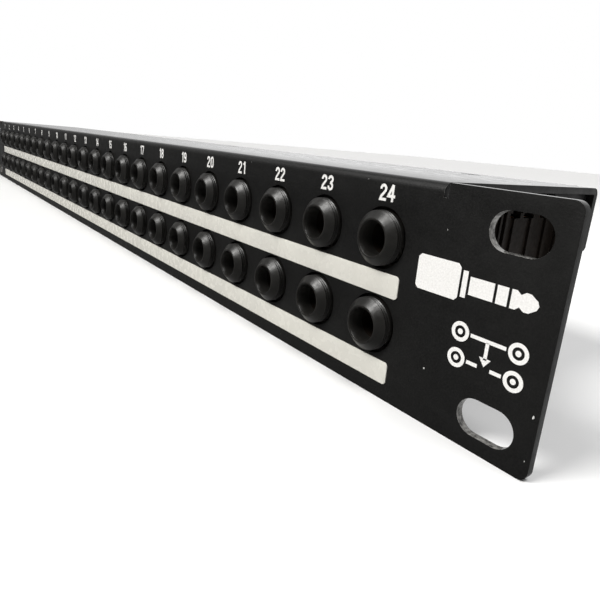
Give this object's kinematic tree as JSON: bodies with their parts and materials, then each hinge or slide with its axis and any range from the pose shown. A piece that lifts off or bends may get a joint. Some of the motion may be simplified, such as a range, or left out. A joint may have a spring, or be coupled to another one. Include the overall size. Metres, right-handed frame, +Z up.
{
  "type": "audio patch bay",
  "caption": "Rack-width black panel with two rows of jack sockets over white writing strips, a folded steel chassis, upright circuit cards and matching sockets at the rear.",
  "frame": {"origin": "on the front face of the front panel, at the centre of its four rack slots", "axes": "+X to the right seen from the front, +Y to the back, +Z up"},
  "size_m": [0.4826, 0.0635, 0.044],
  "materials": {
    "panel_paint": "fine-textured satin black powder coat",
    "chassis_steel": "satin black paint",
    "strip_film": "semi-gloss off-white film",
    "socket_plastic": "satin black moulded plastic",
    "circuit_board": "brown paper laminate",
    "spring_bronze": "bright rolled bronze",
    "tinned_pin": "tinned",
    "plated_steel": "zinc plated",
    "nut_nickel": "nickel plated",
    "screw_black": "black oxide"
  },
  "bodies": {
    "chassis": {"front_panel": "panel_paint", "rear_panel": "chassis_steel", "label_strips": "strip_film", "front_jack_housings": "socket_plastic", "rear_jack_housings": "socket_plastic", "circuit_cards": "circuit_board", "rear_contact_springs": "spring_bronze", "normalling_contacts": "spring_bronze", "solder_terminals": "tinned_pin", "rear_jack_washers": "plated_steel", "rear_jack_nuts": "nut_nickel", "top_plate_screws": "screw_black"},
    "front_upper_contacts_01": {"front_upper_contact_springs_01": "spring_bronze"},
    "front_upper_contacts_02": {"front_upper_contact_springs_02": "spring_bronze"},
    "front_upper_contacts_03": {"front_upper_contact_springs_03": "spring_bronze"},
    "front_upper_contacts_04": {"front_upper_contact_springs_04": "spring_bronze"},
    "front_upper_contacts_05": {"front_upper_contact_springs_05": "spring_bronze"},
    "front_upper_contacts_06": {"front_upper_contact_springs_06": "spring_bronze"},
    "front_upper_contacts_07": {"front_upper_contact_springs_07": "spring_bronze"},
    "front_upper_contacts_08": {"front_upper_contact_springs_08": "spring_bronze"},
    "front_upper_contacts_09": {"front_upper_contact_springs_09": "spring_bronze"},
    "front_upper_contacts_10": {"front_upper_contact_springs_10": "spring_bronze"},
    "front_upper_contacts_11": {"front_upper_contact_springs_11": "spring_bronze"},
    "front_upper_contacts_12": {"front_upper_contact_springs_12": "spring_bronze"},
    "front_upper_contacts_13": {"front_upper_contact_springs_13": "spring_bronze"},
    "front_upper_contacts_14": {"front_upper_contact_springs_14": "spring_bronze"},
    "front_upper_contacts_15": {"front_upper_contact_springs_15": "spring_bronze"},
    "front_upper_contacts_16": {"front_upper_contact_springs_16": "spring_bronze"},
    "front_upper_contacts_17": {"front_upper_contact_springs_17": "spring_bronze"},
    "front_upper_contacts_18": {"front_upper_contact_springs_18": "spring_bronze"},
    "front_upper_contacts_19": {"front_upper_contact_springs_19": "spring_bronze"},
    "front_upper_contacts_20": {"front_upper_contact_springs_20": "spring_bronze"},
    "front_upper_contacts_21": {"front_upper_contact_springs_21": "spring_bronze"},
    "front_upper_contacts_22": {"front_upper_contact_springs_22": "spring_bronze"},
    "front_upper_contacts_23": {"front_upper_contact_springs_23": "spring_bronze"},
    "front_upper_contacts_24": {"front_upper_contact_springs_24": "spring_bronze"},
    "front_lower_contacts_01": {"front_lower_contact_springs_01": "spring_bronze"},
    "front_lower_contacts_02": {"front_lower_contact_springs_02": "spring_bronze"},
    "front_lower_contacts_03": {"front_lower_contact_springs_03": "spring_bronze"},
    "front_lower_contacts_04": {"front_lower_contact_springs_04": "spring_bronze"},
    "front_lower_contacts_05": {"front_lower_contact_springs_05": "spring_bronze"},
    "front_lower_contacts_06": {"front_lower_contact_springs_06": "spring_bronze"},
    "front_lower_contacts_07": {"front_lower_contact_springs_07": "spring_bronze"},
    "front_lower_contacts_08": {"front_lower_contact_springs_08": "spring_bronze"},
    "front_lower_contacts_09": {"front_lower_contact_springs_09": "spring_bronze"},
    "front_lower_contacts_10": {"front_lower_contact_springs_10": "spring_bronze"},
    "front_lower_contacts_11": {"front_lower_contact_springs_11": "spring_bronze"},
    "front_lower_contacts_12": {"front_lower_contact_springs_12": "spring_bronze"},
    "front_lower_contacts_13": {"front_lower_contact_springs_13": "spring_bronze"},
    "front_lower_contacts_14": {"front_lower_contact_springs_14": "spring_bronze"},
    "front_lower_contacts_15": {"front_lower_contact_springs_15": "spring_bronze"},
    "front_lower_contacts_16": {"front_lower_contact_springs_16": "spring_bronze"},
    "front_lower_contacts_17": {"front_lower_contact_springs_17": "spring_bronze"},
    "front_lower_contacts_18": {"front_lower_contact_springs_18": "spring_bronze"},
    "front_lower_contacts_19": {"front_lower_contact_springs_19": "spring_bronze"},
    "front_lower_contacts_20": {"front_lower_contact_springs_20": "spring_bronze"},
    "front_lower_contacts_21": {"front_lower_contact_springs_21": "spring_bronze"},
    "front_lower_contacts_22": {"front_lower_contact_springs_22": "spring_bronze"},
    "front_lower_contacts_23": {"front_lower_contact_springs_23": "spring_bronze"},
    "front_lower_contacts_24": {"front_lower_contact_springs_24": "spring_bronze"}
  },
  "joints": [
    {"name": "front_upper_contact_lift_01", "type": "hinge", "parent": "chassis", "child": "front_upper_contacts_01", "pos_m": [-0.21077, 0.0188, 0.0155], "axis": [0, -1, 0], "range_deg": [0, 9], "stiffness_Nm_per_rad": 0.02},
    {"name": "front_upper_contact_lift_02", "type": "hinge", "parent": "chassis", "child": "front_upper_contacts_02", "pos_m": [-0.19299, 0.0188, 0.0155], "axis": [0, -1, 0], "range_deg": [0, 9], "stiffness_Nm_per_rad": 0.02},
    {"name": "front_upper_contact_lift_03", "type": "hinge", "parent": "chassis", "child": "front_upper_contacts_03", "pos_m": [-0.17521, 0.0188, 0.0155], "axis": [0, -1, 0], "range_deg": [0, 9], "stiffness_Nm_per_rad": 0.02},
    {"name": "front_upper_contact_lift_04", "type": "hinge", "parent": "chassis", "child": "front_upper_contacts_04", "pos_m": [-0.15743, 0.0188, 0.0155], "axis": [0, -1, 0], "range_deg": [0, 9], "stiffness_Nm_per_rad": 0.02},
    {"name": "front_upper_contact_lift_05", "type": "hinge", "parent": "chassis", "child": "front_upper_contacts_05", "pos_m": [-0.13965, 0.0188, 0.0155], "axis": [0, -1, 0], "range_deg": [0, 9], "stiffness_Nm_per_rad": 0.02},
    {"name": "front_upper_contact_lift_06", "type": "hinge", "parent": "chassis", "child": "front_upper_contacts_06", "pos_m": [-0.12187, 0.0188, 0.0155], "axis": [0, -1, 0], "range_deg": [0, 9], "stiffness_Nm_per_rad": 0.02},
    {"name": "front_upper_contact_lift_07", "type": "hinge", "parent": "chassis", "child": "front_upper_contacts_07", "pos_m": [-0.10409, 0.0188, 0.0155], "axis": [0, -1, 0], "range_deg": [0, 9], "stiffness_Nm_per_rad": 0.02},
    {"name": "front_upper_contact_lift_08", "type": "hinge", "parent": "chassis", "child": "front_upper_contacts_08", "pos_m": [-0.08631, 0.0188, 0.0155], "axis": [0, -1, 0], "range_deg": [0, 9], "stiffness_Nm_per_rad": 0.02},
    {"name": "front_upper_contact_lift_09", "type": "hinge", "parent": "chassis", "child": "front_upper_contacts_09", "pos_m": [-0.06853, 0.0188, 0.0155], "axis": [0, -1, 0], "range_deg": [0, 9], "stiffness_Nm_per_rad": 0.02},
    {"name": "front_upper_contact_lift_10", "type": "hinge", "parent": "chassis", "child": "front_upper_contacts_10", "pos_m": [-0.05075, 0.0188, 0.0155], "axis": [0, -1, 0], "range_deg": [0, 9], "stiffness_Nm_per_rad": 0.02},
    {"name": "front_upper_contact_lift_11", "type": "hinge", "parent": "chassis", "child": "front_upper_contacts_11", "pos_m": [-0.03297, 0.0188, 0.0155], "axis": [0, -1, 0], "range_deg": [0, 9], "stiffness_Nm_per_rad": 0.02},
    {"name": "front_upper_contact_lift_12", "type": "hinge", "parent": "chassis", "child": "front_upper_contacts_12", "pos_m": [-0.01519, 0.0188, 0.0155], "axis": [0, -1, 0], "range_deg": [0, 9], "stiffness_Nm_per_rad": 0.02},
    {"name": "front_upper_contact_lift_13", "type": "hinge", "parent": "chassis", "child": "front_upper_contacts_13", "pos_m": [0.00259, 0.0188, 0.0155], "axis": [0, -1, 0], "range_deg": [0, 9], "stiffness_Nm_per_rad": 0.02},
    {"name": "front_upper_contact_lift_14", "type": "hinge", "parent": "chassis", "child": "front_upper_contacts_14", "pos_m": [0.02037, 0.0188, 0.0155], "axis": [0, -1, 0], "range_deg": [0, 9], "stiffness_Nm_per_rad": 0.02},
    {"name": "front_upper_contact_lift_15", "type": "hinge", "parent": "chassis", "child": "front_upper_contacts_15", "pos_m": [0.03815, 0.0188, 0.0155], "axis": [0, -1, 0], "range_deg": [0, 9], "stiffness_Nm_per_rad": 0.02},
    {"name": "front_upper_contact_lift_16", "type": "hinge", "parent": "chassis", "child": "front_upper_contacts_16", "pos_m": [0.05593, 0.0188, 0.0155], "axis": [0, -1, 0], "range_deg": [0, 9], "stiffness_Nm_per_rad": 0.02},
    {"name": "front_upper_contact_lift_17", "type": "hinge", "parent": "chassis", "child": "front_upper_contacts_17", "pos_m": [0.07371, 0.0188, 0.0155], "axis": [0, -1, 0], "range_deg": [0, 9], "stiffness_Nm_per_rad": 0.02},
    {"name": "front_upper_contact_lift_18", "type": "hinge", "parent": "chassis", "child": "front_upper_contacts_18", "pos_m": [0.09149, 0.0188, 0.0155], "axis": [0, -1, 0], "range_deg": [0, 9], "stiffness_Nm_per_rad": 0.02},
    {"name": "front_upper_contact_lift_19", "type": "hinge", "parent": "chassis", "child": "front_upper_contacts_19", "pos_m": [0.10927, 0.0188, 0.0155], "axis": [0, -1, 0], "range_deg": [0, 9], "stiffness_Nm_per_rad": 0.02},
    {"name": "front_upper_contact_lift_20", "type": "hinge", "parent": "chassis", "child": "front_upper_contacts_20", "pos_m": [0.12705, 0.0188, 0.0155], "axis": [0, -1, 0], "range_deg": [0, 9], "stiffness_Nm_per_rad": 0.02},
    {"name": "front_upper_contact_lift_21", "type": "hinge", "parent": "chassis", "child": "front_upper_contacts_21", "pos_m": [0.14483, 0.0188, 0.0155], "axis": [0, -1, 0], "range_deg": [0, 9], "stiffness_Nm_per_rad": 0.02},
    {"name": "front_upper_contact_lift_22", "type": "hinge", "parent": "chassis", "child": "front_upper_contacts_22", "pos_m": [0.16261, 0.0188, 0.0155], "axis": [0, -1, 0], "range_deg": [0, 9], "stiffness_Nm_per_rad": 0.02},
    {"name": "front_upper_contact_lift_23", "type": "hinge", "parent": "chassis", "child": "front_upper_contacts_23", "pos_m": [0.18039, 0.0188, 0.0155], "axis": [0, -1, 0], "range_deg": [0, 9], "stiffness_Nm_per_rad": 0.02},
    {"name": "front_upper_contact_lift_24", "type": "hinge", "parent": "chassis", "child": "front_upper_contacts_24", "pos_m": [0.19817, 0.0188, 0.0155], "axis": [0, -1, 0], "range_deg": [0, 9], "stiffness_Nm_per_rad": 0.02},
    {"name": "front_lower_contact_lift_01", "type": "hinge", "parent": "chassis", "child": "front_lower_contacts_01", "pos_m": [-0.21077, 0.0188, -0.0019], "axis": [0, -1, 0], "range_deg": [0, 9], "stiffness_Nm_per_rad": 0.02},
    {"name": "front_lower_contact_lift_02", "type": "hinge", "parent": "chassis", "child": "front_lower_contacts_02", "pos_m": [-0.19299, 0.0188, -0.0019], "axis": [0, -1, 0], "range_deg": [0, 9], "stiffness_Nm_per_rad": 0.02},
    {"name": "front_lower_contact_lift_03", "type": "hinge", "parent": "chassis", "child": "front_lower_contacts_03", "pos_m": [-0.17521, 0.0188, -0.0019], "axis": [0, -1, 0], "range_deg": [0, 9], "stiffness_Nm_per_rad": 0.02},
    {"name": "front_lower_contact_lift_04", "type": "hinge", "parent": "chassis", "child": "front_lower_contacts_04", "pos_m": [-0.15743, 0.0188, -0.0019], "axis": [0, -1, 0], "range_deg": [0, 9], "stiffness_Nm_per_rad": 0.02},
    {"name": "front_lower_contact_lift_05", "type": "hinge", "parent": "chassis", "child": "front_lower_contacts_05", "pos_m": [-0.13965, 0.0188, -0.0019], "axis": [0, -1, 0], "range_deg": [0, 9], "stiffness_Nm_per_rad": 0.02},
    {"name": "front_lower_contact_lift_06", "type": "hinge", "parent": "chassis", "child": "front_lower_contacts_06", "pos_m": [-0.12187, 0.0188, -0.0019], "axis": [0, -1, 0], "range_deg": [0, 9], "stiffness_Nm_per_rad": 0.02},
    {"name": "front_lower_contact_lift_07", "type": "hinge", "parent": "chassis", "child": "front_lower_contacts_07", "pos_m": [-0.10409, 0.0188, -0.0019], "axis": [0, -1, 0], "range_deg": [0, 9], "stiffness_Nm_per_rad": 0.02},
    {"name": "front_lower_contact_lift_08", "type": "hinge", "parent": "chassis", "child": "front_lower_contacts_08", "pos_m": [-0.08631, 0.0188, -0.0019], "axis": [0, -1, 0], "range_deg": [0, 9], "stiffness_Nm_per_rad": 0.02},
    {"name": "front_lower_contact_lift_09", "type": "hinge", "parent": "chassis", "child": "front_lower_contacts_09", "pos_m": [-0.06853, 0.0188, -0.0019], "axis": [0, -1, 0], "range_deg": [0, 9], "stiffness_Nm_per_rad": 0.02},
    {"name": "front_lower_contact_lift_10", "type": "hinge", "parent": "chassis", "child": "front_lower_contacts_10", "pos_m": [-0.05075, 0.0188, -0.0019], "axis": [0, -1, 0], "range_deg": [0, 9], "stiffness_Nm_per_rad": 0.02},
    {"name": "front_lower_contact_lift_11", "type": "hinge", "parent": "chassis", "child": "front_lower_contacts_11", "pos_m": [-0.03297, 0.0188, -0.0019], "axis": [0, -1, 0], "range_deg": [0, 9], "stiffness_Nm_per_rad": 0.02},
    {"name": "front_lower_contact_lift_12", "type": "hinge", "parent": "chassis", "child": "front_lower_contacts_12", "pos_m": [-0.01519, 0.0188, -0.0019], "axis": [0, -1, 0], "range_deg": [0, 9], "stiffness_Nm_per_rad": 0.02},
    {"name": "front_lower_contact_lift_13", "type": "hinge", "parent": "chassis", "child": "front_lower_contacts_13", "pos_m": [0.00259, 0.0188, -0.0019], "axis": [0, -1, 0], "range_deg": [0, 9], "stiffness_Nm_per_rad": 0.02},
    {"name": "front_lower_contact_lift_14", "type": "hinge", "parent": "chassis", "child": "front_lower_contacts_14", "pos_m": [0.02037, 0.0188, -0.0019], "axis": [0, -1, 0], "range_deg": [0, 9], "stiffness_Nm_per_rad": 0.02},
    {"name": "front_lower_contact_lift_15", "type": "hinge", "parent": "chassis", "child": "front_lower_contacts_15", "pos_m": [0.03815, 0.0188, -0.0019], "axis": [0, -1, 0], "range_deg": [0, 9], "stiffness_Nm_per_rad": 0.02},
    {"name": "front_lower_contact_lift_16", "type": "hinge", "parent": "chassis", "child": "front_lower_contacts_16", "pos_m": [0.05593, 0.0188, -0.0019], "axis": [0, -1, 0], "range_deg": [0, 9], "stiffness_Nm_per_rad": 0.02},
    {"name": "front_lower_contact_lift_17", "type": "hinge", "parent": "chassis", "child": "front_lower_contacts_17", "pos_m": [0.07371, 0.0188, -0.0019], "axis": [0, -1, 0], "range_deg": [0, 9], "stiffness_Nm_per_rad": 0.02},
    {"name": "front_lower_contact_lift_18", "type": "hinge", "parent": "chassis", "child": "front_lower_contacts_18", "pos_m": [0.09149, 0.0188, -0.0019], "axis": [0, -1, 0], "range_deg": [0, 9], "stiffness_Nm_per_rad": 0.02},
    {"name": "front_lower_contact_lift_19", "type": "hinge", "parent": "chassis", "child": "front_lower_contacts_19", "pos_m": [0.10927, 0.0188, -0.0019], "axis": [0, -1, 0], "range_deg": [0, 9], "stiffness_Nm_per_rad": 0.02},
    {"name": "front_lower_contact_lift_20", "type": "hinge", "parent": "chassis", "child": "front_lower_contacts_20", "pos_m": [0.12705, 0.0188, -0.0019], "axis": [0, -1, 0], "range_deg": [0, 9], "stiffness_Nm_per_rad": 0.02},
    {"name": "front_lower_contact_lift_21", "type": "hinge", "parent": "chassis", "child": "front_lower_contacts_21", "pos_m": [0.14483, 0.0188, -0.0019], "axis": [0, -1, 0], "range_deg": [0, 9], "stiffness_Nm_per_rad": 0.02},
    {"name": "front_lower_contact_lift_22", "type": "hinge", "parent": "chassis", "child": "front_lower_contacts_22", "pos_m": [0.16261, 0.0188, -0.0019], "axis": [0, -1, 0], "range_deg": [0, 9], "stiffness_Nm_per_rad": 0.02},
    {"name": "front_lower_contact_lift_23", "type": "hinge", "parent": "chassis", "child": "front_lower_contacts_23", "pos_m": [0.18039, 0.0188, -0.0019], "axis": [0, -1, 0], "range_deg": [0, 9], "stiffness_Nm_per_rad": 0.02},
    {"name": "front_lower_contact_lift_24", "type": "hinge", "parent": "chassis", "child": "front_lower_contacts_24", "pos_m": [0.19817, 0.0188, -0.0019], "axis": [0, -1, 0], "range_deg": [0, 9], "stiffness_Nm_per_rad": 0.02}
  ]
}
